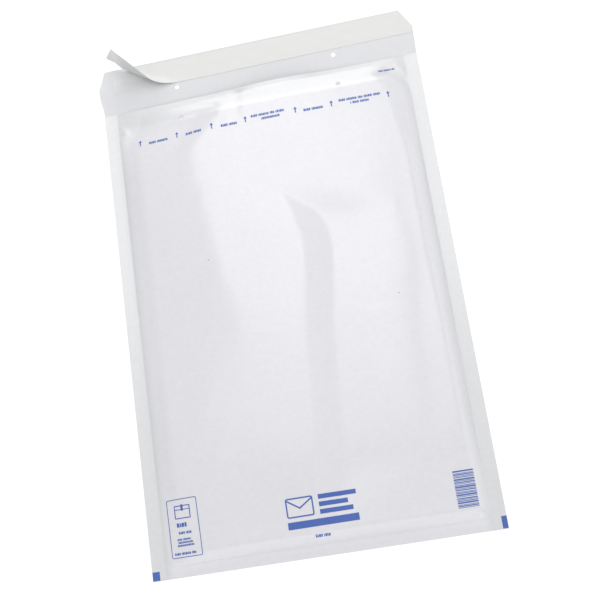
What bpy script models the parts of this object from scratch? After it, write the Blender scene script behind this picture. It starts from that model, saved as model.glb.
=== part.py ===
"""A padded envelope: a white paper mailer lined with bubble film, lying flat with its front up.

X runs across the envelope, +Y from the bottom fold to the flap, and +Z is up. The back panel and the open flap
lie on the ground. Each piece is drawn from the bottom fold, and the empty that holds them all puts the middle of
the whole envelope at the origin.
"""

import math

import bmesh
import bpy
from mathutils import Vector

MM = 0.001

# Cover
BODY_WIDTH = 320 * MM
BODY_LENGTH = 462 * MM
FLAP_LENGTH = 51 * MM
FLAP_CORNER_WIDTH = 10 * MM
FLAP_CORNER_LENGTH = 20 * MM
PAPER = 0.25 * MM
SIDE_SEAM = 13 * MM
BOTTOM_SEAM = 11 * MM
SEAM_THICKNESS = 0.45 * MM
PAD_EDGE_ROOM = 0.4 * MM
PAD_EDGE_SLOPE = 1.0 * MM

# Bubble film
FILM = 3.2 * MM
CRUSHED_FILM = 0.4 * MM
FILM_RISE = 12 * MM
FILM_FROM_MOUTH = 22 * MM

# Pocket between the two layers of film
POCKET_HEIGHT = 6.0 * MM
POCKET_SEAL = 4 * MM
POCKET_RISE = 42 * MM
POCKET_EDGE_STEP = 1 * MM

# Mouth: the front panel's unpadded lip, raised most in the middle
MOUTH_HEIGHT = 9.6 * MM
MOUTH_EDGE_HEIGHT = 0.9 * MM
MOUTH_RAISED_WIDTH = 104 * MM
MOUTH_FADE = 66 * MM

# Punched holes, which line up in pairs when the flap is folded over
HOLE_DIAMETER = 4.5 * MM
HOLE_SPACING = 160 * MM
HOLE_FROM_MOUTH = 18.5 * MM

# Glue on the flap and the strip that covers it
ADHESIVE_WIDTH = 20 * MM
ADHESIVE_THICKNESS = 0.3 * MM
ADHESIVE_END_MARGIN = 12 * MM
LINER_WIDTH = 25.5 * MM
LINER_THICKNESS = 0.2 * MM
LINER_FROM_FLAP_TOP = 2 * MM

# Peeled end of the strip: it bends up round a line that runs slantwise over the flap
PEELED_LENGTH = 64.4 * MM
PEEL_SLANT = math.radians(32)
PEEL_BEND = math.radians(96)
PEEL_RADIUS = 3 * MM

# Gap that touching pieces keep
CLEARANCE = 0.3 * MM

# How finely the curved sections are drawn
FILM_STEPS = 4
POCKET_STEPS = 6
LIP_STEPS = 5
LENGTH_STEPS = 4
BEND_STEPS = 8
HOLE_SIDES = 24
LEAST_STEP = 0.25 * MM
CUTTER_DEPTH = 60 * MM

FLAP_TOP = BODY_LENGTH + FLAP_LENGTH
PAD_SIDE = BODY_WIDTH / 2 - SIDE_SEAM
PAD_TOP = BODY_LENGTH - FILM_FROM_MOUTH
LINER_TOP = FLAP_TOP - LINER_FROM_FLAP_TOP
LINER_FOOT = LINER_TOP - LINER_WIDTH
LINER_Z = PAPER + CLEARANCE + ADHESIVE_THICKNESS + CLEARANCE

WHITE_PAPER = (0.80, 0.80, 0.83, 1)
CLEAR_FILM = (0.78, 0.81, 0.84, 1)
GLUE = (0.78, 0.77, 0.70, 1)
STRIP_PAPER = (0.78, 0.79, 0.76, 1)


def clear_scene():
    for old in list(bpy.data.objects):
        bpy.data.objects.remove(old, do_unlink=True)


def new_collection(name):
    collection = bpy.data.collections.new(name)
    bpy.context.scene.collection.children.link(collection)
    return collection


def material(name, colour, roughness):
    """A plain Principled material."""
    made = bpy.data.materials.new(name)
    made.use_nodes = True
    shader = made.node_tree.nodes["Principled BSDF"]
    shader.inputs["Base Color"].default_value = colour
    shader.inputs["Roughness"].default_value = roughness
    shader.inputs["Metallic"].default_value = 0
    return made


def add_object(name, bm, collection, finish=None):
    """Make an object of a bmesh, which is freed."""
    mesh = bpy.data.meshes.new(name)
    bm.to_mesh(mesh)
    bm.free()
    made = bpy.data.objects.new(name, mesh)
    collection.objects.link(made)
    if finish:
        mesh.materials.append(finish)
    return made


def hide_guide(guide):
    """Cutters and forms only shape other pieces."""
    guide.hide_render = True
    guide.display_type = "WIRE"


def boolean(target, other, operation):
    modifier = target.modifiers.new(other.name, "BOOLEAN")
    modifier.operation = operation
    modifier.object = other
    modifier.solver = "EXACT"


def rounded(distance, rise):
    """0 at an edge, 1 from `rise` inwards, and crowned like a pillow between the two."""
    share = min(max(distance / rise, 0), 1)
    return math.sin(share * math.pi / 2)


def eased(share):
    share = min(max(share, 0), 1)
    return share * share * (3 - 2 * share)


def edge_share(x, y, inset, rise):
    """How far a thickness has risen at a point, from the padding's two sides and its foot."""
    from_side = PAD_SIDE - abs(x) - inset
    from_foot = y - BOTTOM_SEAM - inset
    return rounded(from_side, rise) * rounded(from_foot, rise)


def film_at(x, y):
    return CRUSHED_FILM + (FILM - CRUSHED_FILM) * edge_share(x, y, 0, FILM_RISE)


def pocket_at(x, y):
    return POCKET_HEIGHT * edge_share(x, y, POCKET_SEAL, POCKET_RISE)


def film_bottom(x, y):
    return PAPER + CLEARANCE


def pocket_floor(x, y):
    return film_bottom(x, y) + film_at(x, y)


def pocket_roof(x, y):
    return pocket_floor(x, y) + pocket_at(x, y)


def film_top(x, y):
    return pocket_roof(x, y) + film_at(x, y)


def padded_front(x, y):
    return film_top(x, y) + CLEARANCE + PAPER


def mouth_edge(x):
    """Height of the front panel's top edge."""
    faded = eased((abs(x) - MOUTH_RAISED_WIDTH / 2) / MOUTH_FADE)
    return MOUTH_HEIGHT + (MOUTH_EDGE_HEIGHT - MOUTH_HEIGHT) * faded


def front_panel(x, y):
    """Height of the front panel's outside, seams and lip included."""
    beyond_side = abs(x) - PAD_SIDE
    beyond_foot = BOTTOM_SEAM - y
    if max(beyond_side, beyond_foot) > PAD_EDGE_ROOM + PAD_EDGE_SLOPE / 2:
        return SEAM_THICKNESS
    if y <= PAD_TOP + CLEARANCE:
        return padded_front(x, y)
    down = eased((y - PAD_TOP - CLEARANCE) / (FILM_FROM_MOUTH - CLEARANCE))
    return padded_front(x, PAD_TOP) * (1 - down) + mouth_edge(x) * down


def spaced(values):
    """Sorted positions, without those that would make slivers."""
    kept = []
    for value in sorted(values):
        if not kept or value - kept[-1] > LEAST_STEP:
            kept.append(value)
    return kept


def rise_steps():
    """Distances in from the padding's edge at which its section is drawn."""
    steps = [FILM_RISE * step / FILM_STEPS for step in range(FILM_STEPS + 1)]
    steps += [POCKET_SEAL + POCKET_RISE * step / POCKET_STEPS for step in range(POCKET_STEPS + 1)]
    return steps


def edge_steps():
    """Distances out from the padding's edge to where the front panel turns down and where it meets the seam."""
    return [PAD_EDGE_ROOM, PAD_EDGE_ROOM + PAD_EDGE_SLOPE]


def across_stations():
    """Half of the positions across the envelope, from the middle out, then mirrored."""
    half = [0, BODY_WIDTH / 2]
    half += [PAD_SIDE + step for step in edge_steps()]
    half += [PAD_SIDE - step for step in rise_steps()]
    half += [MOUTH_RAISED_WIDTH / 2 + MOUTH_FADE * step / LIP_STEPS for step in range(LIP_STEPS + 1)]
    half = spaced(value for value in half if value >= 0)
    return [-value for value in reversed(half[1:])] + half


def along_stations():
    """Positions from the bottom fold to the mouth."""
    level_foot = BOTTOM_SEAM + POCKET_SEAL + POCKET_RISE
    steps = [0, PAD_TOP, PAD_TOP + CLEARANCE, BODY_LENGTH]
    steps += [BOTTOM_SEAM - step for step in edge_steps()]
    steps += [BOTTOM_SEAM + step for step in rise_steps()]
    steps += [PAD_TOP + FILM_FROM_MOUTH * step / LIP_STEPS for step in range(1, LIP_STEPS)]
    steps += [level_foot + (PAD_TOP - level_foot) * step / LENGTH_STEPS for step in range(1, LENGTH_STEPS)]
    return spaced(steps)


def station_grid(across, along):
    """A flat grid whose rows and columns lie at the given positions, cut into triangles all one way."""
    bm = bmesh.new()
    columns = len(across) - 1
    rows = len(along) - 1
    bmesh.ops.create_grid(bm, x_segments=columns, y_segments=rows, size=0.5)
    for vert in bm.verts:
        column = round((vert.co.x + 0.5) * columns)
        row = round((vert.co.y + 0.5) * rows)
        vert.co = Vector((across[column], along[row], 0))
    bmesh.ops.triangulate(bm, faces=bm.faces[:], quad_method="FIXED")
    return bm


def filled_between(across, along, bottom, top):
    """A closed solid between two heights over a grid."""
    bm = station_grid(across, along)
    lower = bm.verts[:]
    grown = bmesh.ops.extrude_face_region(bm, geom=bm.faces[:], use_keep_orig=True)
    upper = [item for item in grown["geom"] if isinstance(item, bmesh.types.BMVert)]
    for vert in upper:
        vert.co.z = top(vert.co.x, vert.co.y)
    for vert in lower:
        vert.co.z = bottom(vert.co.x, vert.co.y)
    bmesh.ops.recalc_face_normals(bm, faces=bm.faces[:])
    return bm


def flat_plate(low, high):
    """One rectangular face between two corners."""
    bm = bmesh.new()
    bmesh.ops.create_grid(bm, x_segments=1, y_segments=1, size=0.5)
    size = Vector((high[0] - low[0], high[1] - low[1], 1))
    middle = Vector(((low[0] + high[0]) / 2, (low[1] + high[1]) / 2, 0))
    bmesh.ops.scale(bm, vec=size, verts=bm.verts[:])
    bmesh.ops.translate(bm, vec=middle, verts=bm.verts[:])
    return bm


def trim_flap_corners(bm):
    """Cut off what lies outside the flap's two slanted corners."""
    for side in (-1, 1):
        point = Vector((side * BODY_WIDTH / 2, FLAP_TOP - FLAP_CORNER_LENGTH, 0))
        outward = Vector((side * FLAP_CORNER_LENGTH, FLAP_CORNER_WIDTH, 0))
        bmesh.ops.bisect_plane(
            bm,
            geom=bm.verts[:] + bm.edges[:] + bm.faces[:],
            plane_co=point,
            plane_no=outward.normalized(),
            clear_outer=True,
        )


def solidify(target, thickness, offset):
    modifier = target.modifiers.new("Thickness", "SOLIDIFY")
    modifier.thickness = thickness
    modifier.offset = offset
    modifier.use_even_offset = True


def hole_cutter(name, x, y, collection):
    """A pin through every layer."""
    bm = bmesh.new()
    bmesh.ops.create_cone(
        bm,
        cap_ends=True,
        segments=HOLE_SIDES,
        radius1=HOLE_DIAMETER / 2,
        radius2=HOLE_DIAMETER / 2,
        depth=CUTTER_DEPTH,
    )
    bmesh.ops.translate(bm, vec=Vector((x, y, 0)), verts=bm.verts[:])
    cutter = add_object(name, bm, collection)
    hide_guide(cutter)
    return cutter


def paper_cover(parts, forms):
    """Back panel and flap in one plate, the front panel bonded on along its seams, and the punched holes."""
    plate = flat_plate((-BODY_WIDTH / 2, 0), (BODY_WIDTH / 2, FLAP_TOP))
    trim_flap_corners(plate)
    cover = add_object("paper_cover", plate, parts, material("white_paper", WHITE_PAPER, 0.5))
    solidify(cover, PAPER, 1)

    panel = station_grid(across_stations(), along_stations())
    for vert in panel.verts:
        vert.co.z = front_panel(vert.co.x, vert.co.y)
    front = add_object("front_panel_form", panel, forms)
    solidify(front, PAPER, -1)
    hide_guide(front)
    boolean(cover, front, "UNION")

    for side in (-1, 1):
        for name, row in (("body", BODY_LENGTH - HOLE_FROM_MOUTH), ("flap", BODY_LENGTH + HOLE_FROM_MOUTH)):
            cutter = hole_cutter(f"{name}_hole_{side}", side * HOLE_SPACING / 2, row, forms)
            boolean(cover, cutter, "DIFFERENCE")
    return cover


def bubble_liner(parts, forms):
    """Two layers of film, joined at the sides and the foot, with the pocket between them open at the top."""
    slack = LEAST_STEP / 2
    across = [x for x in across_stations() if abs(x) <= PAD_SIDE + slack]
    along = [y for y in along_stations() if BOTTOM_SEAM - slack <= y <= PAD_TOP + slack]
    film = filled_between(across, along, film_bottom, film_top)
    liner = add_object("bubble_liner", film, parts, material("bubble_film", CLEAR_FILM, 0.25))

    inner_side = PAD_SIDE - POCKET_SEAL - POCKET_EDGE_STEP
    inner_foot = BOTTOM_SEAM + POCKET_SEAL + POCKET_EDGE_STEP
    pocket_across = [x for x in across if abs(x) < inner_side]
    pocket_along = [y for y in along if y > inner_foot]
    pocket_along[-1] = BODY_LENGTH
    pocket = filled_between(pocket_across, pocket_along, pocket_floor, pocket_roof)
    form = add_object("pocket_form", pocket, forms)
    hide_guide(form)
    boolean(liner, form, "DIFFERENCE")
    return liner


def adhesive_strip(parts):
    """The band of glue across the flap, centred under its cover strip."""
    bm = bmesh.new()
    bmesh.ops.create_cube(bm, size=1)
    length = BODY_WIDTH - 2 * ADHESIVE_END_MARGIN
    bmesh.ops.scale(bm, vec=Vector((length, ADHESIVE_WIDTH, ADHESIVE_THICKNESS)), verts=bm.verts[:])
    height = PAPER + CLEARANCE + ADHESIVE_THICKNESS / 2
    middle = Vector((0, (LINER_FOOT + LINER_TOP) / 2, height))
    bmesh.ops.translate(bm, vec=middle, verts=bm.verts[:])
    return add_object("adhesive_strip", bm, parts, material("glue", GLUE, 0.2))


def peeled(point, origin, along, towards):
    """Where a point of the flat strip goes when its end is bent up round the slanted line."""
    offset = point - origin
    past = offset.dot(towards)
    angle = min(max(past / PEEL_RADIUS, 0), PEEL_BEND)
    straight = max(past - PEEL_RADIUS * PEEL_BEND, 0)
    reach = min(past, 0) + PEEL_RADIUS * math.sin(angle) + straight * math.cos(angle)
    rise = PEEL_RADIUS * (1 - math.cos(angle)) + straight * math.sin(angle)
    return origin + along * offset.dot(along) + towards * reach + Vector((0, 0, rise))


def release_liner(parts):
    """The cover strip, cut to the flap's corners, flat on the glue and peeled up at its left end."""
    bm = flat_plate((-BODY_WIDTH / 2, LINER_FOOT), (BODY_WIDTH / 2, LINER_TOP))
    trim_flap_corners(bm)
    origin = Vector((PEELED_LENGTH - BODY_WIDTH / 2, LINER_FOOT, 0))
    along = Vector((-math.cos(PEEL_SLANT), math.sin(PEEL_SLANT), 0))
    towards = Vector((-math.sin(PEEL_SLANT), -math.cos(PEEL_SLANT), 0))
    for cut in range(BEND_STEPS + 1):
        past = PEEL_RADIUS * PEEL_BEND * cut / BEND_STEPS
        bmesh.ops.bisect_plane(
            bm,
            geom=bm.verts[:] + bm.edges[:] + bm.faces[:],
            plane_co=origin + towards * past,
            plane_no=towards,
        )
    for vert in bm.verts:
        vert.co = peeled(vert.co.copy(), origin, along, towards)
        vert.co.z += LINER_Z
    strip = add_object("release_liner", bm, parts, material("strip_paper", STRIP_PAPER, 0.4))
    solidify(strip, LINER_THICKNESS, 1)
    return strip


def overall_length(pieces):
    """Furthest reach along Y of the finished pieces."""
    depsgraph = bpy.context.evaluated_depsgraph_get()
    reach = 0
    for piece in pieces:
        mesh = piece.evaluated_get(depsgraph).to_mesh()
        reach = max([reach] + [vert.co.y for vert in mesh.vertices])
    return reach


def main():
    clear_scene()
    parts = new_collection("padded_envelope")
    forms = new_collection("forms")
    pieces = [
        paper_cover(parts, forms),
        bubble_liner(parts, forms),
        adhesive_strip(parts),
        release_liner(parts),
    ]
    bpy.context.view_layer.update()
    centre = bpy.data.objects.new("envelope_centre", None)
    parts.objects.link(centre)
    centre.location = (0, -overall_length(pieces) / 2, 0)
    for item in list(parts.objects) + list(forms.objects):
        if item is not centre:
            item.parent = centre
    bpy.context.view_layer.update()


main()
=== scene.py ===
"""The look of a padded envelope: a white paper mailer lined with bubble film, lying with its front
up, its flap open and the cover strip of its glue peeled at one end.

The file is laid out as a Blender add-on and run as a script. X runs across the envelope, +Y from the
bottom fold to the flap, and Z is up from the ground. Shapes are worked out in millimetres from the
middle of the bottom fold, and put in their place in metres at the end.
"""

import math
from itertools import cycle

import bmesh
import bpy
from bpy.props import FloatProperty, FloatVectorProperty, IntProperty, PointerProperty
from mathutils import Euler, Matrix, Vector, noise
from mathutils.bvhtree import BVHTree


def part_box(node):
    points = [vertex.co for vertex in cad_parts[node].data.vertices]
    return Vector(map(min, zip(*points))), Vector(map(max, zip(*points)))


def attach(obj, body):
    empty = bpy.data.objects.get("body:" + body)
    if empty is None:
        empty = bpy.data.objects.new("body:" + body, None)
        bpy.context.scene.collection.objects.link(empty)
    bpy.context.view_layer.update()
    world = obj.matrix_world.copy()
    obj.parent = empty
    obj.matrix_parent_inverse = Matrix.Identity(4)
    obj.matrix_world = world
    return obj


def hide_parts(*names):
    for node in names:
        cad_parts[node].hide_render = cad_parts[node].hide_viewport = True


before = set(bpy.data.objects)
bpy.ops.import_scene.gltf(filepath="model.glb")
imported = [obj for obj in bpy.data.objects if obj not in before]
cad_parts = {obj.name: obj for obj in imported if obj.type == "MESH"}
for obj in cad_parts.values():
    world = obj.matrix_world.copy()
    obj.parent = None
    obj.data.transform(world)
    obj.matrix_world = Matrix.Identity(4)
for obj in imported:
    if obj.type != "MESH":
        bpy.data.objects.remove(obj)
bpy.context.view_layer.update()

bl_info = {
    "name": "Padded Envelope",
    "version": (1, 0, 0),
    "blender": (4, 5, 0),
    "location": "View3D > Sidebar > Envelope",
    "description": "A white padded envelope with its flap open, and a small studio round it",
    "category": "Object",
}

MM = 0.001
SHARP_ANGLE = math.radians(70)

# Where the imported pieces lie, in millimetres from the middle of the bottom fold
COVER_LOW, COVER_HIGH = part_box("paper_cover")
FILM_LOW, FILM_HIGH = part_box("bubble_liner")
GLUE_LOW, GLUE_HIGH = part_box("adhesive_strip")
STRIP_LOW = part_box("release_liner")[0]
FOLD_Y = COVER_LOW.y / MM
HALF_WIDTH = COVER_HIGH.x / MM
FLAP_TOP = COVER_HIGH.y / MM - FOLD_Y
PAD_SIDE = FILM_HIGH.x / MM
PAD_FOOT = FILM_LOW.y / MM - FOLD_Y
PAD_TOP = FILM_HIGH.y / MM - FOLD_Y
GLUE_FOOT = GLUE_LOW.y / MM - FOLD_Y
GLUE_TOP = GLUE_HIGH.y / MM - FOLD_Y
GLUE_SIDE = GLUE_HIGH.x / MM
STRIP_FOOT = STRIP_LOW.y / MM - FOLD_Y


def smooth(share):
    """0 to 1 with level ends."""
    share = min(max(share, 0.0), 1.0)
    return share * share * (3 - 2 * share)


def ramp(value, start, end):
    return smooth((value - start) / (end - start))


def rounded(distance, rise):
    """0 at an edge and 1 from `rise` inwards, steep at the edge and level inside."""
    return math.sin(min(max(distance / rise, 0.0), 1.0) * math.pi / 2)


def walled(distance, rise):
    """0 at an edge and 1 from `rise` inwards, with one even slope and then a rounded shoulder."""
    share = min(max(distance / rise, 0.0), 1.0)
    return 1.25 * share if share < 0.6 else 1 - 1.5625 * (1 - share) ** 2


def even_ramp(share, soft=0.2):
    """0 to 1 at one slope, with short roundings at its two ends."""
    share = min(max(share, 0.0), 1.0)
    if share > 0.5:
        return 1 - even_ramp(1 - share, soft)
    if share < soft:
        return share * share / (2 * soft * (1 - soft))
    return (share - soft / 2) / (1 - soft)


def along_line(line, y):
    """X at a height y of a smooth curve through (x, y) points that are given from its foot up."""
    if y <= line[0][1]:
        return line[0][0]
    if y >= line[-1][1]:
        return line[-1][0]
    index = next(index for index, point in enumerate(line) if y <= point[1])
    (x0, y0), (x1, y1) = line[index - 1], line[index]
    before, after = line[max(index - 2, 0)], line[min(index + 1, len(line) - 1)]
    span = y1 - y0
    lean0 = span * (x1 - before[0]) / (y1 - before[1])
    lean1 = span * (after[0] - x0) / (after[1] - y0)
    t = (y - y0) / span
    level = smooth(t)
    return x0 + (x1 - x0) * level + lean0 * t * (1 - t) ** 2 - lean1 * t * t * (1 - t)


class Valley:
    """A long hollow in the front panel with a ridge on its left, and a steep band between the two.

    From left to right the paper comes up by `ridge` over `back` millimetres, falls by `ridge` and
    `drop` over a band `width` wide, and comes back over the next `back` millimetres. `line` is the
    steep band's middle from its foot up. The form fades over `fade_foot` and `fade_top` at its ends.
    """

    def __init__(self, ridge, drop, width, back, fade_foot, fade_top, line):
        self.ridge = ridge
        self.drop = drop
        self.width = width
        self.back = back
        self.fade_foot = fade_foot
        self.fade_top = fade_top
        self.line = line

    def height(self, x, y):
        foot = self.line[0][1]
        top = self.line[-1][1]
        if y <= foot or y >= top:
            return 0.0
        amount = ramp(y, foot, foot + self.fade_foot) * (1 - ramp(y, top - self.fade_top, top))
        width = self.width * max(amount, 0.1)
        past = x - along_line(self.line, y) + width / 2
        fallen = even_ramp(past / width)
        hollow = self.drop * fallen * (1 - smooth((past - width) / self.back))
        rise = self.ridge * (1 - fallen) * smooth(1 + past / self.back)
        return amount * (rise - hollow)


class Crease:
    """A ridge, or a groove where `rise` is negative, along a line of points, that dies away at its ends."""

    def __init__(self, rise, width, line):
        self.rise = rise
        self.width = width
        self.line = [Vector(point) for point in line]
        self.length = sum((b - a).length for a, b in zip(self.line, self.line[1:]))
        self.low = [min(point[axis] for point in self.line) - 3 * width for axis in (0, 1)]
        self.high = [max(point[axis] for point in self.line) + 3 * width for axis in (0, 1)]

    def height(self, x, y):
        if not (self.low[0] < x < self.high[0] and self.low[1] < y < self.high[1]):
            return 0.0
        here = Vector((x, y))
        nearest = math.inf
        place = 0.0
        gone = 0.0
        for a, b in zip(self.line, self.line[1:]):
            run = b - a
            share = min(max((here - a).dot(run) / run.length_squared, 0.0), 1.0)
            distance = (here - a - run * share).length
            if distance < nearest:
                nearest = distance
                place = gone + run.length * share
            gone += run.length
        taper = math.sin(math.pi * min(max(place / self.length, 0.0), 1.0)) ** 0.6
        return self.rise * taper * math.exp(-((nearest / self.width) ** 2))


# Where the level middle of the padding ends and its slope to the left edge starts, from the foot up
LEFT_SLOPE_START = (
    (-84, 40), (-82, 120), (-62, 180), (-52, 224),
    (-59, 273), (-69, 340), (-77, 413), (-60, 437),
)
LEFT_SLOPE = 0.095

# The steep side of the long valley down the middle, from the foot up
MIDDLE_LINE = (
    (9, 20), (13, 60), (18, 130), (22, 190), (26, 225),
    (31, 260), (33, 290), (26, 316), (10, 338), (-9, 354),
)

# Large forms of the padded front, seen in the light that falls on it
VALLEYS = (
    Valley(2.0, 2.8, 38, 70, 60, 52, MIDDLE_LINE),
    Valley(0.3, 0.5, 34, 30, 80, 80, [(98, 60), (102, 200), (110, 250), (116, 330)]),
    Valley(0, 0.5, 16, 40, 30, 60, [(-20, 340), (-22, 380), (-20, 436)]),
    Valley(0, 0.4, 18, 40, 30, 50, [(62, 330), (66, 380), (66, 430)]),
)

# Small folds and wrinkles
CREASES = (
    Crease(0.22, 2.6, [(-146, 103), (-120, 106), (-97, 103)]),
    Crease(0.10, 2.6, [(-49, 212), (-22, 207), (3, 203)]),
    Crease(0.10, 2.6, [(50, 218), (84, 210), (110, 196), (134, 181)]),
    Crease(0.45, 3.5, [(-10, 24), (-8, 13)]),
    Crease(0.5, 3.0, [(-150, 452), (-138, 437)]),
    Crease(0.4, 2.6, [(136, 455), (150, 444)]),
    Crease(0.5, 3.0, [(-147, 24), (-136, 12)]),
    Crease(0.7, 2.6, [(-90, 444), (-70, 449), (-48, 449)]),
    Crease(0.6, 2.4, [(-66, 455), (-30, 453), (4, 456)]),
    Crease(-0.9, 6.0, [(-27, 424), (-26, 442), (-23, 470)]),
    Crease(0.4, 6.0, [(-42, 428), (-40, 454)]),
)

MOUTH_CORNERS = (17.0, 29.0)
LIP_FALL = 18.0


class EnvelopeForm:
    """Heights and places of the paper and film, worked out from the sizes that the user sets."""

    def __init__(self, sizes):
        self.paper = sizes.paper_thickness / MM
        self.film = sizes.film_thickness / MM
        self.mouth = PAD_TOP + sizes.lip_depth / MM
        self.skew = sizes.skew
        self.crown = sizes.crown / MM
        self.lip_rise = sizes.lip_rise / MM
        self.seam_gap = 0.02

    def placed(self, x, y, z):
        """The place in the frame, in metres. The cover was cut a little out of square."""
        return Vector((x, y + self.skew * x * min(y / self.mouth, 1.2) + FOLD_Y, z)) * MM

    def back(self, x, y):
        """Height of the back panel's and flap's inner face: flat, with its side seams turned up a little."""
        side = self.seam_lift(x) * (1 - ramp(y, self.mouth - 10, self.mouth + 25))
        return self.paper + side + self.flap_wave(x, y)

    def seam_lift(self, x):
        """The outer edges of the side seams curl up, the left one more than the right."""
        out = (abs(x) - PAD_SIDE) / (HALF_WIDTH - PAD_SIDE)
        full = 1.5 if x < 0 else 1.1
        return full * out**2 if out > 0 else 0.0

    def flap_wave(self, x, y):
        """The flap's soft waves, its swell at the left and its turned-up left corner."""
        if y < self.mouth:
            return 0.0
        out = ramp(y, self.mouth, self.mouth + 20)
        wave = 0.2 * (1 + noise.noise(Vector((x / 60, y / 40, 7.5))))
        swell = 1.7 * math.exp(-(((x + 118) / 34) ** 2)) * (1 - ramp(y, self.mouth + 22, FLAP_TOP - 14))
        from_corner = -HALF_WIDTH + 12 - x - abs(y - (FLAP_TOP - 24)) * 0.75
        return out * (wave + swell) + 0.2 * max(from_corner, 0.0)

    def padded(self, x, y):
        """Height of the front panel's inner face over the padding, with no fade at the mouth."""
        rounding = 16 - 11.5 * ramp(y, 130, 230)
        past = (along_line(LEFT_SLOPE_START, y) - x) / rounding
        slope = LEFT_SLOPE * rounding * math.log1p(math.exp(min(past, 60)))
        top = self.crown - slope + self.waves(x, y)
        top -= 2.5 * ramp(x, 60, PAD_SIDE)
        top -= 3.0 * ramp(y, 365, PAD_TOP) * ramp(x, 15, 95)
        top -= 5.0 * ramp(y, 385, PAD_TOP) * (1 - ramp(x - 0.9 * (y - 414), -95, -62))
        top -= 4.5 * (1 - ramp(y, PAD_FOOT, 120))
        for valley in VALLEYS:
            top += valley.height(x, y)
        side = self.side_inset(x, y)
        foot = y - PAD_FOOT
        rise = 21 if x < 0 else 13 + 2 * ramp(y, 180, 260) + 8 * ramp(y, 350, 420)
        share = walled(side, rise) * walled(foot, 11)
        base = self.seam(x, y)
        edge = 0.45 * ramp(min(side, foot), -0.6, 0.9)
        return base + edge + max(top - base - edge, 0.2) * share

    def corner_cut(self, x, y):
        """How far the padding's side curves inwards at the corners by the mouth."""
        radius = MOUTH_CORNERS[x > 0]
        up = min(max(1 + (y - PAD_TOP - 8) / radius, 0.0), 0.93)
        return radius * (1 - math.sqrt(1 - up * up))

    def side_inset(self, x, y):
        """Distance in from the padding's side."""
        return PAD_SIDE - abs(x) - self.corner_cut(x, y)

    def waves(self, x, y):
        """Undulations: broad ones everywhere, slanting at the left, and fine level ones low on the right."""
        broad = 0.3 * noise.noise(Vector((x / 55, y / 80, 1.5)))
        broad += 0.05 * noise.noise(Vector((x / 20, y / 26, 4.5)))
        across = (0.82 * x - 0.57 * y) / 15
        along = (0.57 * x + 0.82 * y) / 62
        slanting = 0.28 * noise.noise(Vector((across, along, 9.5))) * (1 - ramp(x, -95, -55))
        fine = 0.055 * noise.noise(Vector((x / 17, y / 6, 5.5)))
        low_right = ramp(x, 10, 50) * (1 - ramp(y, 235, 320)) * ramp(y, 30, 110)
        return broad + slanting + fine * (0.3 + 0.7 * low_right)

    def seam(self, x, y):
        """Height of the front panel's inner face where it is pressed on the back panel."""
        return self.back(x, min(y, self.mouth - 0.01)) + self.seam_gap

    def lip(self, x):
        """Height of the mouth's edge, which gapes most just right of the middle."""
        gape = self.lip_rise * math.exp(-(((x - 16) / 46) ** 2))
        left = 1.0 * ramp(x, -PAD_SIDE, -60) * (1 - ramp(x, -60, 16))
        return self.seam(x, self.mouth - 0.01) + 0.6 * rounded(PAD_SIDE - abs(x), 20) + gape + left

    def front(self, x, y):
        """Height of the front panel's inner face."""
        if abs(x) > PAD_SIDE + 0.6 or y < PAD_FOOT - 0.6:
            fold = 0.5 * math.sin(math.pi * min(max(y / PAD_FOOT, 0.0), 1.0)) if abs(x) < PAD_SIDE else 0.0
            return self.seam(x, y) + fold
        wrinkles = sum(crease.height(x, y) for crease in CREASES)
        wrinkles *= rounded(PAD_SIDE + 0.6 - abs(x), 6)
        if y <= PAD_TOP:
            return self.padded(x, y) + wrinkles
        lip = self.lip(x)
        fallen = min((y - PAD_TOP) / LIP_FALL, 1.0)
        to_edge = ramp(self.mouth - y, 0, 4)
        return lip + max(self.padded(x, y) - lip, 0.0) * (1 - fallen) + wrinkles * to_edge

    def room(self, x, y):
        """Height between the front and back panels' inner faces."""
        return self.front(x, y) - self.back(x, y)

    def film_at(self, x, y):
        """Thickness of one layer of film, squeezed where the room is low."""
        return min(self.film, 0.42 * self.room(x, y))


def spaced(start, end, step):
    """Evenly spaced positions from start to end, about `step` apart."""
    count = max(round((end - start) / step), 1)
    return [start + (end - start) * index / count for index in range(count + 1)]


def joined(*runs):
    """Runs of positions as one list, with no position twice."""
    places = []
    for run in runs:
        for place in run:
            if not places or place - places[-1] > 0.01:
                places.append(place)
    return places


def station_grid(across, along):
    """A flat grid whose columns and rows lie at the given positions."""
    bm = bmesh.new()
    columns = len(across) - 1
    rows = len(along) - 1
    bmesh.ops.create_grid(bm, x_segments=columns, y_segments=rows, size=0.5)
    for vert in bm.verts:
        column = round((vert.co.x + 0.5) * columns)
        row = round((vert.co.y + 0.5) * rows)
        vert.co = Vector((across[column], along[row], 0))
    return bm


def refine(bm, near, rounds):
    """Halve the cells near a place, `rounds` times."""
    for _ in range(rounds):
        close = [edge for edge in bm.edges if near((edge.verts[0].co + edge.verts[1].co) / 2)]
        bmesh.ops.subdivide_edges(bm, edges=close, cuts=1, use_grid_fill=True)


def punch(bm, middle, radius):
    """Cut a round hole in a flat grid, after making its cells small there."""
    for reach in (2.2, 1.7):
        refine(bm, lambda co, far=reach: (co.xy - middle).length < radius * far, 1)
    inside = [face for face in bm.faces if (face.calc_center_median().xy - middle).length < radius]
    rim = {vert for face in inside for vert in face.verts}
    bmesh.ops.delete(bm, geom=inside, context="FACES")
    for vert in rim:
        if vert.is_valid and vert.is_boundary:
            out = (vert.co.xy - middle).normalized() * radius
            vert.co.xy = middle + out


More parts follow.
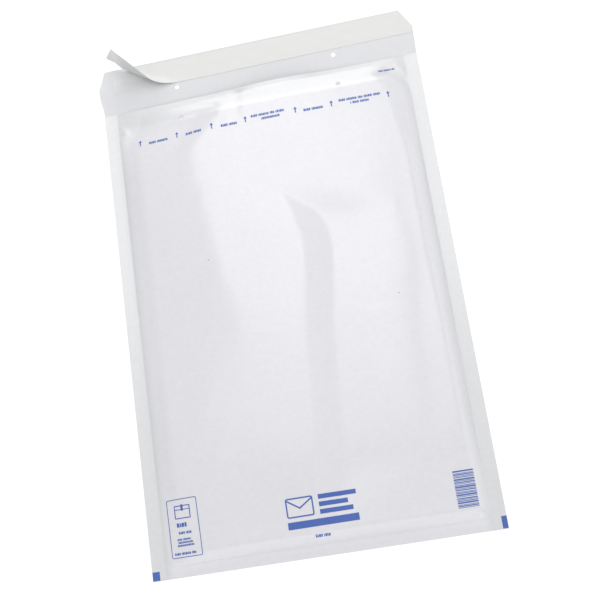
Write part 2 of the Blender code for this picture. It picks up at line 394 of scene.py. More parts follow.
def add_piece(name, bm, materials):
    """Make an object of a bmesh, smooth shaded, with its corners left in place at the origin."""
    mesh = bpy.data.meshes.new(name)
    bm.to_mesh(mesh)
    bm.free()
    for item in materials:
        mesh.materials.append(item)
    mesh.shade_smooth()
    mesh.set_sharp_from_angle(angle=SHARP_ANGLE)
    piece = bpy.data.objects.new(name, mesh)
    bpy.context.scene.collection.objects.link(piece)
    return piece


def thicken(bm, depth, far_side=0):
    """Give a surface a thickness behind its normals, and its far side a material of its own."""
    bm.normal_update()
    near = bm.faces[:]
    made = bmesh.ops.extrude_face_region(bm, geom=near, use_keep_orig=True)["geom"]
    for item in made:
        if isinstance(item, bmesh.types.BMVert):
            item.co -= item.normal * depth
    for face in bm.faces:
        face.material_index = far_side
    for face in near:
        face.material_index = 0
    bmesh.ops.recalc_face_normals(bm, faces=bm.faces[:])


def principled(name, roughness, coat=0.0):
    """A new material and its Principled shader."""
    made = bpy.data.materials.new(name)
    made.use_nodes = True
    shader = made.node_tree.nodes["Principled BSDF"]
    shader.inputs["Roughness"].default_value = roughness
    shader.inputs["Coat Weight"].default_value = coat
    return made, shader


def add_node(material, kind, **settings):
    node = material.node_tree.nodes.new(kind)
    for name, value in settings.items():
        setattr(node, name, value)
    return node


def grain(material, scale, detail=3.0, stretch=(1, 1, 1)):
    """Noise in the piece's own space, stretched along the paper's grain."""
    links = material.node_tree.links
    place = add_node(material, "ShaderNodeTexCoord")
    mapping = add_node(material, "ShaderNodeMapping")
    mapping.inputs["Scale"].default_value = stretch
    texture = add_node(material, "ShaderNodeTexNoise")
    texture.inputs["Scale"].default_value = scale
    texture.inputs["Detail"].default_value = detail
    links.new(place.outputs["Object"], mapping.inputs["Vector"])
    links.new(mapping.outputs["Vector"], texture.inputs["Vector"])
    return texture.outputs["Fac"]


def two_tones(material, share, dark, light):
    """A colour that goes from dark to light as share goes from its low to its high values."""
    shades = add_node(material, "ShaderNodeValToRGB")
    shades.color_ramp.elements[0].position = 0.3
    shades.color_ramp.elements[1].position = 0.7
    shades.color_ramp.elements[0].color = (*dark, 1)
    shades.color_ramp.elements[1].color = (*light, 1)
    material.node_tree.links.new(share, shades.inputs["Fac"])
    return shades.outputs["Color"]


def shaded(colour, factor):
    return tuple(channel * factor for channel in colour)


def add_bump(material, shader, height, strength, distance):
    """Bumps over any that the shader has."""
    bump = add_node(material, "ShaderNodeBump")
    bump.inputs["Strength"].default_value = strength
    bump.inputs["Distance"].default_value = distance
    material.node_tree.links.new(height, bump.inputs["Height"])
    for link in shader.inputs["Normal"].links:
        material.node_tree.links.new(link.from_socket, bump.inputs["Normal"])
    material.node_tree.links.new(bump.outputs["Normal"], shader.inputs["Normal"])


def vary_roughness(material, shader, share, low, high):
    limits = add_node(material, "ShaderNodeMapRange")
    limits.inputs["To Min"].default_value = low
    limits.inputs["To Max"].default_value = high
    material.node_tree.links.new(share, limits.inputs["Value"])
    material.node_tree.links.new(limits.outputs["Result"], shader.inputs["Roughness"])


def glazed_paper(colours):
    """The cover's outside: smooth, slightly glossy and cloudy, and lighter and cooler where it lies over film;
    the same padded tone along the bottom fold, where no film lies, is painted light.
    """
    material, shader = principled("glazed_paper", 0.34)
    shader.inputs["Coat Weight"].default_value = 1.0
    shader.inputs["Coat Roughness"].default_value = 0.17
    links = material.node_tree.links
    clouds = grain(material, 420, 4, (0.7, 1, 1))
    film_tone_and_painted_light = add_node(material, "ShaderNodeAttribute", attribute_name="film_tone_and_painted_light")
    over, pressed_flat = colours.padded_paper, colours.seam_paper
    padded = two_tones(material, clouds, shaded(over, 0.99), shaded(over, 1.01))
    pressed = two_tones(material, clouds, shaded(pressed_flat, 0.985), shaded(pressed_flat, 1.01))
    mix = add_node(material, "ShaderNodeMix", data_type="RGBA")
    links.new(film_tone_and_painted_light.outputs["Fac"], mix.inputs["Factor"])
    links.new(pressed, mix.inputs["A"])
    links.new(padded, mix.inputs["B"])
    blots = two_tones(material, grain(material, 210, 4), shaded((1, 1, 1), 0.97), (1, 1, 1))
    blotted = add_node(material, "ShaderNodeMix", data_type="RGBA", blend_type="MULTIPLY")
    blotted.inputs["Factor"].default_value = 1.0
    links.new(mix.outputs["Result"], blotted.inputs["A"])
    links.new(blots, blotted.inputs["B"])
    links.new(blotted.outputs["Result"], shader.inputs["Base Color"])
    vary_roughness(material, shader, clouds, 0.3, 0.38)
    add_bump(material, shader, grain(material, 900, 5, (1, 0.5, 1)), 0.5, 0.03 * MM)
    add_bump(material, shader, grain(material, 150, 4, (0.6, 1, 1)), 1.0, 0.11 * MM)
    return material


def raw_paper(colours):
    """The cover's inside, which the open flap shows: the same paper, matt and a little greyer."""
    material, shader = principled("raw_paper", 0.6)
    shader.inputs["Specular IOR Level"].default_value = 0.25
    clouds = grain(material, 150, 4, (1, 0.6, 1))
    tone = two_tones(material, clouds, shaded(colours.inner_paper, 0.988), shaded(colours.inner_paper, 1.01))
    material.node_tree.links.new(tone, shader.inputs["Base Color"])
    add_bump(material, shader, grain(material, 1100, 5, (1, 0.5, 1)), 0.6, 0.04 * MM)
    return material


def strip_paper(colours, name, colour, roughness):
    """Silicone-coated backing paper."""
    material, shader = principled(name, roughness)
    shader.inputs["Specular IOR Level"].default_value = 0.3
    clouds = grain(material, 160, 4, (0.4, 1, 1))
    tone = two_tones(material, clouds, shaded(colour, 0.985), shaded(colour, 1.015))
    material.node_tree.links.new(tone, shader.inputs["Base Color"])
    add_bump(material, shader, grain(material, 1200, 4), 0.4, 0.02 * MM)
    return material


def clear_film(colours):
    """Thin milky film with a plastic shine, clearer in places."""
    material, shader = principled("clear_film", 0.14)
    shader.inputs["Alpha"].default_value = 0.6
    clouds = grain(material, 120, 3)
    tone = two_tones(material, clouds, shaded(colours.film, 0.94), shaded(colours.film, 1.02))
    material.node_tree.links.new(tone, shader.inputs["Base Color"])
    vary_roughness(material, shader, clouds, 0.1, 0.22)
    add_bump(material, shader, grain(material, 300, 3), 0.35, 0.08 * MM)
    return material


def glue_with_painted_light(colours):
    """A thin coat of tacky glue with a wet shine. Its colour, close to and a little lighter than the flap
    paper's, is the glue's own tone with painted light that lifts the shade under the peeled end of the cover
    strip.
    """
    material, shader = principled("glue_with_painted_light", 0.28)
    streaks = grain(material, 90, 4, (0.15, 1, 1))
    tone = two_tones(material, streaks, shaded(colours.glue, 0.95), shaded(colours.glue, 1.02))
    material.node_tree.links.new(tone, shader.inputs["Base Color"])
    add_bump(material, shader, streaks, 0.5, 0.06 * MM)
    return material


def printed_ink(name, colour):
    """Flexographic ink, a little uneven in its fields."""
    material, shader = principled(name, 0.45)
    clouds = grain(material, 700, 3)
    tone = two_tones(material, clouds, shaded(colour, 0.93), shaded(colour, 1.08))
    material.node_tree.links.new(tone, shader.inputs["Base Color"])
    return material


def standing_for(piece, node):
    """Put a piece on the envelope's one body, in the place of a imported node."""
    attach(piece, "root")
    if node:
        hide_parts(node)


def colour_property(name, description, default):
    return FloatVectorProperty(
        name=name,
        description=description,
        subtype="COLOR",
        size=3,
        min=0,
        max=1,
        default=default,
    )


def length_property(name, description, default):
    return FloatProperty(
        name=name,
        description=description,
        subtype="DISTANCE",
        unit="LENGTH",
        precision=5,
        default=default,
    )


class EnvelopeSizes(bpy.types.PropertyGroup):
    paper_thickness: length_property("Paper", "Thickness of the cover's paper", 0.2 * MM)
    lip_depth: length_property("Lip", "From the end of the film to the edge of the mouth", 23 * MM)
    lip_rise: length_property("Mouth gape", "How far the lip stands off where it gapes most", 5.8 * MM)
    crown: length_property("Crown", "Height of the padded front in the middle", 12.4 * MM)
    film_thickness: length_property("Film", "Thickness of one layer of bubble film", 3.1 * MM)
    bubble_pitch: length_property("Bubble pitch", "Distance between bubbles in a row", 11 * MM)
    bubble_width: length_property("Bubble width", "Diameter of a bubble at its foot", 9.6 * MM)
    hole_diameter: length_property("Hole", "Diameter of the punched holes", 4.5 * MM)
    hole_spacing: length_property("Hole spacing", "Distance between the two holes in a row", 160 * MM)
    hole_from_mouth: length_property("Hole to mouth", "From a row of holes to the mouth's edge", 19.5 * MM)
    cell: length_property("Cell", "Size of the front panel's mesh cells", 2.2 * MM)
    skew: FloatProperty(name="Skew", description="Rise of the mouth's end across the width", default=0.025)
    bubble_sides: IntProperty(name="Bubble sides", description="Facets of a bubble", default=10, min=6, max=16)


class EnvelopeColours(bpy.types.PropertyGroup):
    # Also laid along the bottom fold, where it is painted light.
    padded_paper: colour_property("Padded paper", "Outside of the paper over the film", (0.735, 0.735, 0.775))
    seam_paper: colour_property("Seam paper", "Outside of the paper along the seams", (0.685, 0.69, 0.705))
    inner_paper: colour_property("Inner paper", "Inside of the paper, seen on the flap", (0.70, 0.703, 0.725))
    film: colour_property("Film", "Bubble film", (0.80, 0.82, 0.86))
    # Lighter than the flap's paper: the glue's own tone plus painted light that lifts the shade under the
    # peeled strip.
    glue: colour_property("Glue", "Glue on the flap", (0.735, 0.74, 0.75))
    strip: colour_property("Cover strip", "Top of the strip over the glue", (0.715, 0.72, 0.70))
    # Darker than the strip's top: painted shade on the underside of the peeled end, which stands in shade; the
    # silicone side itself is real.
    strip_back_painted_shade: colour_property("Strip underside", "Silicone side of the strip", (0.64, 0.65, 0.64))
    ink: colour_property("Ink", "Blue print", (0.065, 0.13, 0.43))
    speck: colour_property("Speck", "Dark specks in the paper", (0.30, 0.31, 0.34))


def level_property(name, description, default):
    return FloatProperty(name=name, description=description, min=0, default=default)


class StudioLook(bpy.types.PropertyGroup):
    key_level: level_property("Key light", "Brightness of the large soft light above, where 1 is white", 2.15)
    back_level: level_property("Back light", "Brightness of the soft light behind the flap", 2.2)
    side_level: level_property("Side light", "Brightness of the soft light at the right", 0.6)
    fill_level: level_property("Fill light", "Brightness of the soft light at the front", 1.0)
    room_light: level_property("Room light", "Brightness of the even light all round", 0.575)
    key_height: length_property("Key height", "Height of the key light above the ground", 1.5)
    floor_colour: colour_property("Floor", "Plain pale floor", (0.86, 0.86, 0.86))
    floor_lift: level_property("Floor lift", "White added to the floor where the camera sees it", 0.75)


class ENVELOPE_OT_paper_cover(bpy.types.Operator):
    """Make the cover from one flat sheet, with its holes and corners cut, turned over at the bottom fold"""

    bl_idname = "envelope.paper_cover"
    bl_label = "Paper cover"

    def stations(self, form, cell):
        """Columns and rows of the flat sheet: the front panel below 0 and the back panel and flap above."""
        seam = spaced(PAD_SIDE + 1, HALF_WIDTH, 3)
        edge = [PAD_SIDE - 0.8, PAD_SIDE, PAD_SIDE + 0.6]
        middle = spaced(-PAD_SIDE + 3, PAD_SIDE - 3, cell)
        across = joined([-x for x in reversed(seam)], [-x for x in reversed(edge)], middle, edge, seam)
        lip = spaced(-form.mouth, -PAD_TOP, 1.8)
        padding = spaced(-PAD_TOP, -PAD_FOOT - 3, cell)
        foot = [-PAD_FOOT - 0.8, -PAD_FOOT, -PAD_FOOT + 0.6]
        front = joined(lip, padding, foot, spaced(-PAD_FOOT + 1.8, -0.6, 2.4))
        back = joined([0, 0.6], spaced(6, form.mouth, 9), spaced(form.mouth + 3, FLAP_TOP, 3.6))
        return across, joined(front, back)

    def trim_corners(self, bm):
        """Cut the flap's corners on a slant."""
        for side, wide, long in ((-1, 6.5, 19.5), (1, 11, 19.5)):
            near = [face for face in bm.faces if face.calc_center_median().y > FLAP_TOP - long - 8]
            near = [face for face in near if side * face.calc_center_median().x > HALF_WIDTH - wide - 8]
            edges = {edge for face in near for edge in face.edges}
            verts = {vert for face in near for vert in face.verts}
            bmesh.ops.bisect_plane(
                bm,
                geom=list(verts) + list(edges) + near,
                plane_co=Vector((side * HALF_WIDTH, FLAP_TOP - long, 0)),
                plane_no=Vector((side * long, wide, 0)).normalized(),
                clear_outer=True,
            )

    def folded(self, form, flat):
        """Place of a point of the flat sheet once the sheet is folded, and its share of the padded tone: over
        the film, and as painted light along the bottom fold.
        """
        x, y = flat.x, flat.y
        if y < 0:
            # The share leaves out the distance to the bottom fold, so the fold strip takes the lighter padded
            # tone: painted light.
            inset = min(form.side_inset(x, -y), PAD_TOP + y + 8)
            return form.placed(x, -y, form.front(x, -y)), smooth(inset / 8)
        if y == 0:
            return form.placed(x, 0, (form.back(x, 0) + form.front(x, 0.6)) / 2), 0.0
        out = ramp(y, form.mouth, form.mouth + 25)
        spread = out * (0.011 * x - 0.9)
        inset = min(PAD_SIDE - abs(x), y - PAD_FOOT, PAD_TOP - y)
        return form.placed(x + spread, y, form.back(x, y)), smooth(inset / 8)

    def execute(self, context):
        sizes = context.scene.envelope_sizes
        colours = context.scene.envelope_colours
        form = EnvelopeForm(sizes)
        bm = station_grid(*self.stations(form, sizes.cell / MM))
        self.trim_corners(bm)
        radius = sizes.hole_diameter / MM / 2
        from_mouth = sizes.hole_from_mouth / MM
        for side, slip in ((-1, Vector((-0.17, 0.49))), (1, Vector((0.01, 0.49)))):
            x = side * sizes.hole_spacing / MM / 2 - 1.8
            y = form.mouth - from_mouth
            punch(bm, Vector((x, -y)), radius)
            punch(bm, Vector((x, y)) + slip * form.room(x, y), radius)
            punch(bm, Vector((x, form.mouth + from_mouth - 2.8)), radius)
        film_tone_and_painted_light = bm.verts.layers.float.new("film_tone_and_painted_light")
        for vert in bm.verts:
            vert.co, vert[film_tone_and_painted_light] = self.folded(form, vert.co)
        thicken(bm, sizes.paper_thickness, far_side=1)
        cover = add_piece("folded_cover", bm, [raw_paper(colours), glazed_paper(colours)])
        standing_for(cover, "paper_cover")
        return {"FINISHED"}


class ENVELOPE_OT_bubble_lining(bpy.types.Operator):
    """Make the bubble film from one flat length with its bubbles on, folded in two inside the cover"""

    bl_idname = "envelope.bubble_lining"
    bl_label = "Bubble lining"

    def dome(self, bm, radius, height, sides):
        """One closed bubble with a rounded shoulder, standing on the film."""
        made = bmesh.ops.create_circle(bm, cap_ends=True, segments=sides, radius=radius)
        top = list({face for vert in made["verts"] for face in vert.link_faces})
        for lift, width in ((0.62, 0.94), (0.26, 0.76), (0.12, 0.42)):
            # Given its edges too, the operator leaves no cap inside where it lifts a face off the walls
            edges = list({edge for face in top for edge in face.edges})
            grown = bmesh.ops.extrude_face_region(bm, geom=top + edges)
            verts = [item for item in grown["geom"] if isinstance(item, bmesh.types.BMVert)]
            top = [item for item in grown["geom"] if isinstance(item, bmesh.types.BMFace)]
            reach = max(vert.co.xy.length for vert in verts)
            bmesh.ops.translate(bm, vec=Vector((0, 0, lift * height)), verts=verts)
            bmesh.ops.scale(bm, vec=Vector((width * radius / reach, width * radius / reach, 1)), verts=verts)
        return bm

    def bubbles(self, radius, height, pitch, sides, half_across, half_along):
        """A flat field of bubbles in staggered rows, over a rectangle about the origin."""
        bm = bmesh.new()
        self.dome(bm, radius, height, sides)
        columns = int(2 * half_across / pitch)
        row_pitch = pitch * math.sqrt(3) / 2
        rows = int(2 * half_along / row_pitch)
        first = bm.verts[:] + bm.edges[:] + bm.faces[:]
        bmesh.ops.translate(bm, vec=Vector((-(columns - 1) * pitch / 2, 0, 0)), verts=bm.verts[:])
        for column in range(1, columns):
            copy = bmesh.ops.duplicate(bm, geom=first)
            moved = [item for item in copy["geom"] if isinstance(item, bmesh.types.BMVert)]
            bmesh.ops.translate(bm, vec=Vector((column * pitch, 0, 0)), verts=moved)
        bmesh.ops.translate(bm, vec=Vector((-pitch / 4, -(rows - 1) * row_pitch / 2, 0)), verts=bm.verts[:])
        first = bm.verts[:] + bm.edges[:] + bm.faces[:]
        for row in range(1, rows):
            copy = bmesh.ops.duplicate(bm, geom=first)
            moved = [item for item in copy["geom"] if isinstance(item, bmesh.types.BMVert)]
            stagger = pitch / 2 if row % 2 else 0
            bmesh.ops.translate(bm, vec=Vector((stagger, row * row_pitch, 0)), verts=moved)
        return bm

    def folded(self, form, flat):
        """Place of a point of the flat film, whose plane lies inside and whose bubbles touch the paper."""
        y = abs(flat.y) + PAD_FOOT
        x = flat.x * (1 - form.corner_cut(flat.x, y) / PAD_SIDE)
        clear = 0.08
        depth = clear + (form.film_at(x, y) - clear) * (1 - flat.z)
        if flat.y < 0:
            return form.placed(x, y, form.front(x, y) - depth)
        return form.placed(x, y, form.back(x, y) + depth)

    def execute(self, context):
        sizes = context.scene.envelope_sizes
        form = EnvelopeForm(sizes)
        half_length = PAD_TOP - PAD_FOOT
        radius = sizes.bubble_width / MM / 2
        pitch = sizes.bubble_pitch / MM
        bm = self.bubbles(radius, 1.0, pitch, sizes.bubble_sides, PAD_SIDE - 3, half_length - 2)
        cell = 7
        columns = spaced(-PAD_SIDE + 0.3, PAD_SIDE - 0.3, cell)
        rows = joined(spaced(-half_length, -0.5, cell), [0.5], spaced(cell, half_length, cell))
        sheet = station_grid(columns, rows)
        bmesh.ops.solidify(sheet, geom=sheet.faces[:], thickness=0.04)
        carried = bpy.data.meshes.new("flat_film")
        sheet.to_mesh(carried)
        sheet.free()
        bm.from_mesh(carried)
        bpy.data.meshes.remove(carried)
        for vert in bm.verts:
            vert.co = self.folded(form, vert.co)
        # Folding mirrors both layers, and the operator compares faces with the normals they last had
        bm.normal_update()
        bmesh.ops.recalc_face_normals(bm, faces=bm.faces[:])
        lining = add_piece("bubble_lining", bm, [clear_film(context.scene.envelope_colours)])
        lining.data.set_sharp_from_angle(angle=math.radians(50))
        standing_for(lining, "bubble_liner")
        return {"FINISHED"}


class ENVELOPE_OT_glue_band(bpy.types.Operator):
    """Make the band of glue across the flap"""

    bl_idname = "envelope.glue_band"
    bl_label = "Glue band"

    depth = 0.06

    def execute(self, context):
        form = EnvelopeForm(context.scene.envelope_sizes)
        bm = station_grid(spaced(-GLUE_SIDE, GLUE_SIDE, 3), spaced(GLUE_FOOT, GLUE_TOP, 2.5))
        for vert in bm.verts:
            x, y = vert.co.x, vert.co.y
            edge = 0.5 * noise.noise(Vector((x / 9, y / 9, 3.5)))
            vert.co = form.placed(x, y + edge, form.back(x, y) + 0.03 + self.depth)
        thicken(bm, self.depth * MM)
        band = add_piece("glue_band", bm, [glue_with_painted_light(context.scene.envelope_colours)])
        standing_for(band, "adhesive_strip")
        return {"FINISHED"}


class ENVELOPE_OT_cover_strip(bpy.types.Operator):
    """Make the strip that covers the glue, peeled up at its left end"""

    bl_idname = "envelope.cover_strip"
    bl_label = "Cover strip"

    width = 25.5
    left_end = -155.5
    bend_start = -77.2
    slant = math.radians(27.2)
    bend = math.radians(96)
    radius = 15.4
    narrowing = 0.19
    least_radius = 1.5
    turn = 0.0062
    lift = 0.2
    depth = 0.08
    right_cut = (11, 17.5)

    def peeled(self, point):
        """Where a point of the flat strip goes when its end is bent up round the slanted line."""
        origin = Vector((self.bend_start, STRIP_FOOT, 0))
        along = Vector((-math.cos(self.slant), math.sin(self.slant), 0))
        towards = Vector((-math.sin(self.slant), -math.cos(self.slant), 0))
        offset = point - origin
        past = offset.dot(towards)
        radius = max(self.radius - self.narrowing * max(offset.dot(along), 0), self.least_radius)
        angle = min(max(past / radius, 0), self.bend)
        straight = max(past - radius * self.bend, 0)
        reach = min(past, 0) + radius * math.sin(angle) + straight * math.cos(angle)
        rise = radius * (1 - math.cos(angle)) + straight * math.sin(angle)
        return origin + along * offset.dot(along) + towards * reach + Vector((0, 0, rise))

    def execute(self, context):
        colours = context.scene.envelope_colours
        form = EnvelopeForm(context.scene.envelope_sizes)
        top = STRIP_FOOT + self.width
        bm = station_grid(spaced(self.left_end, HALF_WIDTH, 1.6), spaced(STRIP_FOOT, top, 1.6))
        wide, long = self.right_cut
        bmesh.ops.bisect_plane(
            bm,
            geom=bm.verts[:] + bm.edges[:] + bm.faces[:],
            plane_co=Vector((HALF_WIDTH, top - long, 0)),
            plane_no=Vector((long, wide, 0)).normalized(),
            clear_outer=True,
        )
        for vert in bm.verts:
            flat = vert.co.copy()
            bent = self.peeled(flat)
            wave = 0.03 * (1 + noise.noise(Vector((flat.x / 30, flat.y / 30, 2.5))))
            height = form.back(bent.x, bent.y) + self.lift + wave + bent.z
            place = form.placed(bent.x, bent.y, height)
            place.y += self.turn * bent.x * MM
            vert.co = place
        # The underside's darker colour is painted shade; its lower roughness is the silicone's own.
        silicone_and_shade = strip_paper(colours, "strip_underside", colours.strip_back_painted_shade, 0.3)
        paper = strip_paper(colours, "strip_paper", colours.strip, 0.42)
        thicken(bm, self.depth * MM, far_side=1)
        strip = add_piece("cover_strip", bm, [paper, silicone_and_shade])
        standing_for(strip, "release_liner")
        return {"FINISHED"}


class ENVELOPE_OT_printed_marks(bpy.types.Operator):
    """Lay the blue print on the front panel: plain marks and bars, with no lettering"""

    bl_idname = "envelope.printed_marks"
    bl_label = "Printed marks"

    clearance = 0.05 * MM
    ink_film = 0.02 * MM
    cell = 1.3

    def bar(self, bm, middle, width, height):
        made = bmesh.ops.create_grid(bm, x_segments=1, y_segments=1, size=0.5)
        bmesh.ops.scale(bm, vec=Vector((width, height, 1)), verts=made["verts"])
        bmesh.ops.translate(bm, vec=Vector((*middle, 0)), verts=made["verts"])
        return made["verts"]

    def ring(self, bm, middle, width, height, line, corner):
        """An outlined rectangle with rounded corners."""
        verts = self.bar(bm, middle, width, height)
        made = bmesh.ops.bevel(
            bm,
            geom=verts,
            offset=corner,
            offset_type="OFFSET",
            affect="VERTICES",
            segments=6,
            profile=0.5,
            material=-1,
        )
        corner_verts = set(made["verts"])
        outer = [face for face in bm.faces if corner_verts & set(face.verts)]
        bmesh.ops.inset_region(bm, faces=outer, thickness=line, use_boundary=True)
        bmesh.ops.delete(bm, geom=outer, context="FACES")

    def stroke(self, bm, start, end, line):
        """A straight stroke between two points."""
        a, b = Vector(start), Vector(end)
        run = b - a
        verts = self.bar(bm, (0, 0), run.length + line, line)
        turn = Euler((0, 0, math.atan2(run.y, run.x))).to_matrix()
        bmesh.ops.rotate(bm, cent=Vector(), matrix=turn, verts=verts)
        bmesh.ops.translate(bm, vec=Vector((*((a + b) / 2), 0)), verts=verts)

    def arrow(self, bm, middle):
        """A small arrow towards the mouth."""
        x, y = middle
        self.bar(bm, (x, y - 1.1), 1.1, 4.2)
        head = self.bar(bm, (x, y + 1.9), 3.6, 2.4)
        for vert in head:
            if vert.co.y > y + 2:
                vert.co.x = x + (vert.co.x - x) * 0.12

    def small_print(self, bm, middle, widths, height, pitch):
        """Rows of short strokes in the place of lines of small print, one row for each width."""
        words = cycle((4, 7, 3, 6, 5))
        letters = next(words)
        for row, width in enumerate(widths):
            y = middle[1] - row * pitch
            x = middle[0] - width / 2
            end = middle[0] + width / 2
            index = row
            while x < end - height * 0.3:
                stroke = height * (0.58, 0.34, 0.66, 0.48, 0.28)[index % 5]
                tall = height * (1.0, 0.88, 0.96)[index % 3]
                self.bar(bm, (x + stroke / 2, y - (height - tall) / 2), stroke, tall)
                letters -= 1
                x += stroke + height * (0.12 if letters else 0.5)
                if not letters and end - x < 1.5 * height:
                    break
                letters = letters or next(words)
                index += 1

    def opening_row(self, bm):
        """The row of arrows and short bars below the mouth."""
        slant = 0.012
        for x in (-126.5, -88.2, -51.9, -17.8, 32.3, 68.2, 124.6):
            self.arrow(bm, (x, 423.8 - slant * x))
        for x, width in ((-107.3, 20), (-70.5, 17), (-34.1, 17), (50.3, 20)):
            self.small_print(bm, (x, 421.9 - slant * x), [width], 2.8, 4)
        for x, long, short in ((7.1, 38, 18), (96.3, 41, 19)):
            self.small_print(bm, (x, 425.9 - slant * x), [long, short], 2.6, 4.4)
        self.small_print(bm, (128.4, 450.8), [18], 1.8, 3)

    def label(self, bm):
        """A rounded frame with a parcel drawn in it and rows of bars below."""
        self.ring(bm, (-125.8, 43.3), 29, 52.4, 0.7, 1.6)
        x, y = -125.8, 57.5
        self.ring(bm, (x, y), 15, 12, 0.9, 0.8)
        self.stroke(bm, (x - 7, y + 2.2), (x + 7, y + 2.2), 0.7)
        self.stroke(bm, (x, y + 2.2), (x, y + 5.6), 2.2)
        self.small_print(bm, (x, y - 11.5), [13], 3.8, 3)
        self.small_print(bm, (x, y - 18.5), [11], 2.3, 3)
        self.small_print(bm, (x, y - 24.3), [15, 14, 16], 1.8, 2.7)
        self.small_print(bm, (x, y - 36.8), [23], 2.2, 3)

    def emblem(self, bm):
        """An envelope drawn beside three solid bars, over a long band."""
        self.ring(bm, (-19, 45), 25, 17.5, 1.3, 2.0)
        self.stroke(bm, (-30.2, 51.6), (-19, 44.2), 1.3)
        self.stroke(bm, (-19, 44.2), (-7.8, 51.6), 1.3)
        for row, width in enumerate((34, 26, 30)):
            self.bar(bm, (-1.5 + width / 2, 51.6 - row * 6.6), width, 4.1)
        self.bar(bm, (0.4, 29.5), 64.2, 6.4)
        self.small_print(bm, (-1.7, 18), [14], 2.6, 3)

    def stripes(self, bm):
        """A block of stripes of uneven width, stacked towards the mouth."""
        y = 22.6
        for index in range(24):
            thick = (0.5, 0.9, 0.5, 1.3, 0.7)[index % 5]
            self.bar(bm, (129, y + thick / 2), 18.6, thick)
            y += thick + (0.55, 0.4, 0.9, 0.5)[index % 4]

    def corner_marks(self, bm):
        self.bar(bm, (-HALF_WIDTH + 3.4, 4.2), 6.4, 8.0)
        self.bar(bm, (HALF_WIDTH - 2.5, 5.6), 4.8, 10.8)

    def lay(self, bm, form, surface):
        """Cut flat shapes into small cells, thicken them and drop them on the paper."""
        for axis in (0, 1):
            normal = Vector((1 - axis, axis, 0))
            low = min(vert.co[axis] for vert in bm.verts)
            high = max(vert.co[axis] for vert in bm.verts)
            for cut in spaced(low, high, self.cell)[1:-1]:
                geom = bm.verts[:] + bm.edges[:] + bm.faces[:]
                bmesh.ops.bisect_plane(bm, geom=geom, plane_co=normal * cut, plane_no=normal)
        lower = set(bm.verts)
        bmesh.ops.extrude_face_region(bm, geom=bm.faces[:], use_keep_orig=True)
        down = Vector((0, 0, -1))
        for vert in bm.verts:
            above = 0 if vert in lower else self.ink_film
            place = form.placed(vert.co.x, vert.co.y, 60)
            hit = surface.ray_cast(place, down)[0]
            if hit is None:
                raise RuntimeError(f"a mark lies off the paper at {vert.co.x:.1f}, {vert.co.y:.1f} mm")
            vert.co = hit + Vector((0, 0, self.clearance + above))
        bmesh.ops.recalc_face_normals(bm, faces=bm.faces[:])

    def execute(self, context):
        form = EnvelopeForm(context.scene.envelope_sizes)
        colours = context.scene.envelope_colours
        context.view_layer.update()
        surface = BVHTree.FromObject(context.scene.objects["folded_cover"], context.evaluated_depsgraph_get())
        whole = bmesh.new()
        for draw in (self.opening_row, self.label, self.emblem, self.stripes, self.corner_marks):
            bm = bmesh.new()
            draw(bm)
            self.lay(bm, form, surface)
            part = bpy.data.meshes.new("mark")
            bm.to_mesh(part)
            bm.free()
            whole.from_mesh(part)
            bpy.data.meshes.remove(part)
        marks = add_piece("printed_marks", whole, [printed_ink("blue_ink", colours.ink)])
        marks.data.shade_flat()
        standing_for(marks, None)
        specks = bmesh.new()
        for x, y in ((-72, 288), (101, 223)):
            self.bar(specks, (x, y), 1.1, 1.0)
        self.lay(specks, form, surface)
        specks = add_piece("paper_specks", specks, [printed_ink("speck", colours.speck)])
        standing_for(specks, None)
        return {"FINISHED"}


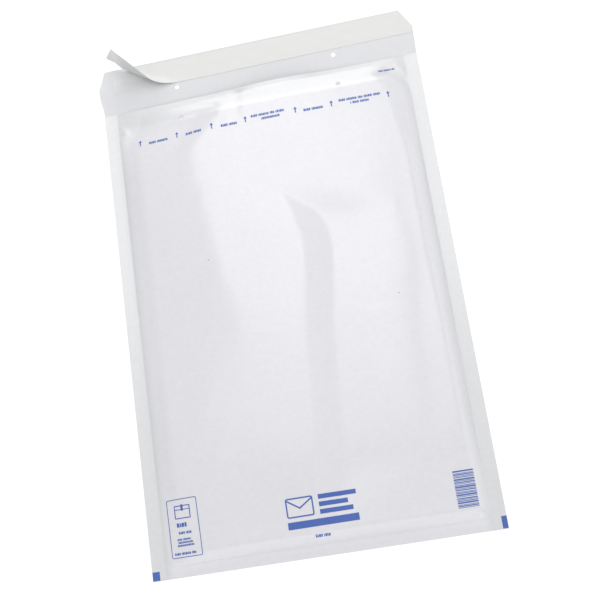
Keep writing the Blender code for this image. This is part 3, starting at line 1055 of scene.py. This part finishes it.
class ENVELOPE_OT_stage(bpy.types.Operator):
    """Set up the pale floor, the soft light and the camera"""

    bl_idname = "envelope.stage"
    bl_label = "Studio"

    camera_place = Vector((0.0716, -0.2676, 0.9217))
    camera_turn = (math.radians(14.91), math.radians(3.8), math.radians(-9.59))
    lens = 60.53
    key_middle = -0.06
    key_width = 0.76
    key_parts = ((0.36, 2.4, 1.0), (0.17, 0.36, 0.6), (-0.12, 0.17, 0.3))
    floor_size = 12.0

    def floor(self, context, look):
        bm = bmesh.new()
        bmesh.ops.create_grid(bm, x_segments=1, y_segments=1, size=self.floor_size / 2)
        bmesh.ops.translate(bm, vec=Vector((0, 0, -0.05 * MM)), verts=bm.verts[:])
        material, shader = principled("pale_floor", 0.9)
        shader.inputs["Specular IOR Level"].default_value = 0
        links = material.node_tree.links
        path = add_node(material, "ShaderNodeLightPath")
        seen_colour = add_node(material, "ShaderNodeMix", data_type="RGBA")
        seen_colour.inputs["A"].default_value = (*look.floor_colour, 1)
        seen_colour.inputs["B"].default_value = (*shaded(look.floor_colour, 0.4), 1)
        links.new(path.outputs["Is Camera Ray"], seen_colour.inputs["Factor"])
        links.new(seen_colour.outputs["Result"], shader.inputs["Base Color"])
        seen = add_node(material, "ShaderNodeMath", operation="MAXIMUM")
        lift = add_node(material, "ShaderNodeMath", operation="MULTIPLY")
        lift.inputs[1].default_value = look.floor_lift
        links.new(path.outputs["Is Camera Ray"], seen.inputs[0])
        links.new(path.outputs["Is Glossy Ray"], seen.inputs[1])
        links.new(seen.outputs["Value"], lift.inputs[0])
        shader.inputs["Emission Color"].default_value = (1, 1, 1, 1)
        links.new(lift.outputs["Value"], shader.inputs["Emission Strength"])
        add_piece("floor", bm, [material])

    def world(self, context, look):
        """Even light all round, and plain white where the camera sees past the floor."""
        world = bpy.data.worlds.new("white_room")
        context.scene.world = world
        world.use_nodes = True
        nodes, links = world.node_tree.nodes, world.node_tree.links
        background = nodes["Background"]
        background.inputs["Color"].default_value = (1, 1, 1, 1)
        path = nodes.new("ShaderNodeLightPath")
        limits = nodes.new("ShaderNodeMapRange")
        limits.inputs["To Min"].default_value = look.room_light
        limits.inputs["To Max"].default_value = 1.0
        links.new(path.outputs["Is Camera Ray"], limits.inputs["Value"])
        links.new(limits.outputs["Result"], background.inputs["Strength"])

    def softbox(self, context, name, place, turn, size, level):
        """A rectangular soft light whose face is `level` times as bright as lit white paper."""
        lamp = bpy.data.lights.new(name, "AREA")
        lamp.shape = "RECTANGLE"
        lamp.size, lamp.size_y = size
        lamp.energy = level * math.pi * size[0] * size[1]
        light = bpy.data.objects.new(name, lamp)
        light.location = place
        light.rotation_euler = turn
        context.scene.collection.objects.link(light)

    def lights(self, context, look):
        """A large softbox above, weaker at its near end, and one each behind, in front and at the right."""
        for start, end, share in self.key_parts:
            place = Vector((self.key_middle, (start + end) / 2, look.key_height))
            size = (self.key_width, end - start)
            self.softbox(context, "key_light", place, Euler(), size, look.key_level * share)
        for name, place, size, level in (
            ("back_light", Vector((-0.05, 2.7, 1.15)), (1.7, 2.1), look.back_level),
            ("fill_light", Vector((0.05, -1.8, 1.05)), (2.8, 1.8), look.fill_level),
            ("side_light", Vector((1.7, 0.1, 0.8)), (1.8, 1.3), look.side_level),
        ):
            turn = (-place).to_track_quat("-Z", "Y").to_euler()
            self.softbox(context, name, place, turn, size, level)

    def camera(self, context):
        camera = bpy.data.objects.new("camera", bpy.data.cameras.new("camera"))
        camera.data.lens = self.lens
        camera.data.clip_start = 0.02
        camera.location = self.camera_place
        camera.rotation_mode = "ZYX"
        camera.rotation_euler = Euler(self.camera_turn, "ZYX")
        context.scene.collection.objects.link(camera)
        context.scene.camera = camera

    def execute(self, context):
        look = context.scene.studio_look
        self.floor(context, look)
        self.world(context, look)
        self.lights(context, look)
        self.camera(context)
        context.scene.view_settings.view_transform = "Standard"
        return {"FINISHED"}


class ENVELOPE_PT_panel(bpy.types.Panel):
    """The pieces of the envelope and its studio"""

    bl_idname = "ENVELOPE_PT_panel"
    bl_label = "Padded envelope"
    bl_space_type = "VIEW_3D"
    bl_region_type = "UI"
    bl_category = "Envelope"

    def draw(self, context):
        for operator in OPERATORS:
            self.layout.operator(operator.bl_idname)
        scene = context.scene
        for group in (scene.envelope_sizes, scene.envelope_colours, scene.studio_look):
            column = self.layout.column()
            for name in group.__annotations__:
                column.prop(group, name)


GROUPS = (EnvelopeSizes, EnvelopeColours, StudioLook)
OPERATORS = (
    ENVELOPE_OT_stage,
    ENVELOPE_OT_paper_cover,
    ENVELOPE_OT_bubble_lining,
    ENVELOPE_OT_glue_band,
    ENVELOPE_OT_cover_strip,
    ENVELOPE_OT_printed_marks,
)


def register():
    for item in (*GROUPS, *OPERATORS, ENVELOPE_PT_panel):
        bpy.utils.register_class(item)
    bpy.types.Scene.envelope_sizes = PointerProperty(type=EnvelopeSizes)
    bpy.types.Scene.envelope_colours = PointerProperty(type=EnvelopeColours)
    bpy.types.Scene.studio_look = PointerProperty(type=StudioLook)


def unregister():
    del bpy.types.Scene.studio_look
    del bpy.types.Scene.envelope_colours
    del bpy.types.Scene.envelope_sizes
    for item in reversed((*GROUPS, *OPERATORS, ENVELOPE_PT_panel)):
        bpy.utils.unregister_class(item)


def main():
    register()
    bpy.ops.envelope.stage()
    bpy.ops.envelope.paper_cover()
    bpy.ops.envelope.bubble_lining()
    bpy.ops.envelope.glue_band()
    bpy.ops.envelope.cover_strip()
    bpy.ops.envelope.printed_marks()


if __name__ == "__main__":
    main()
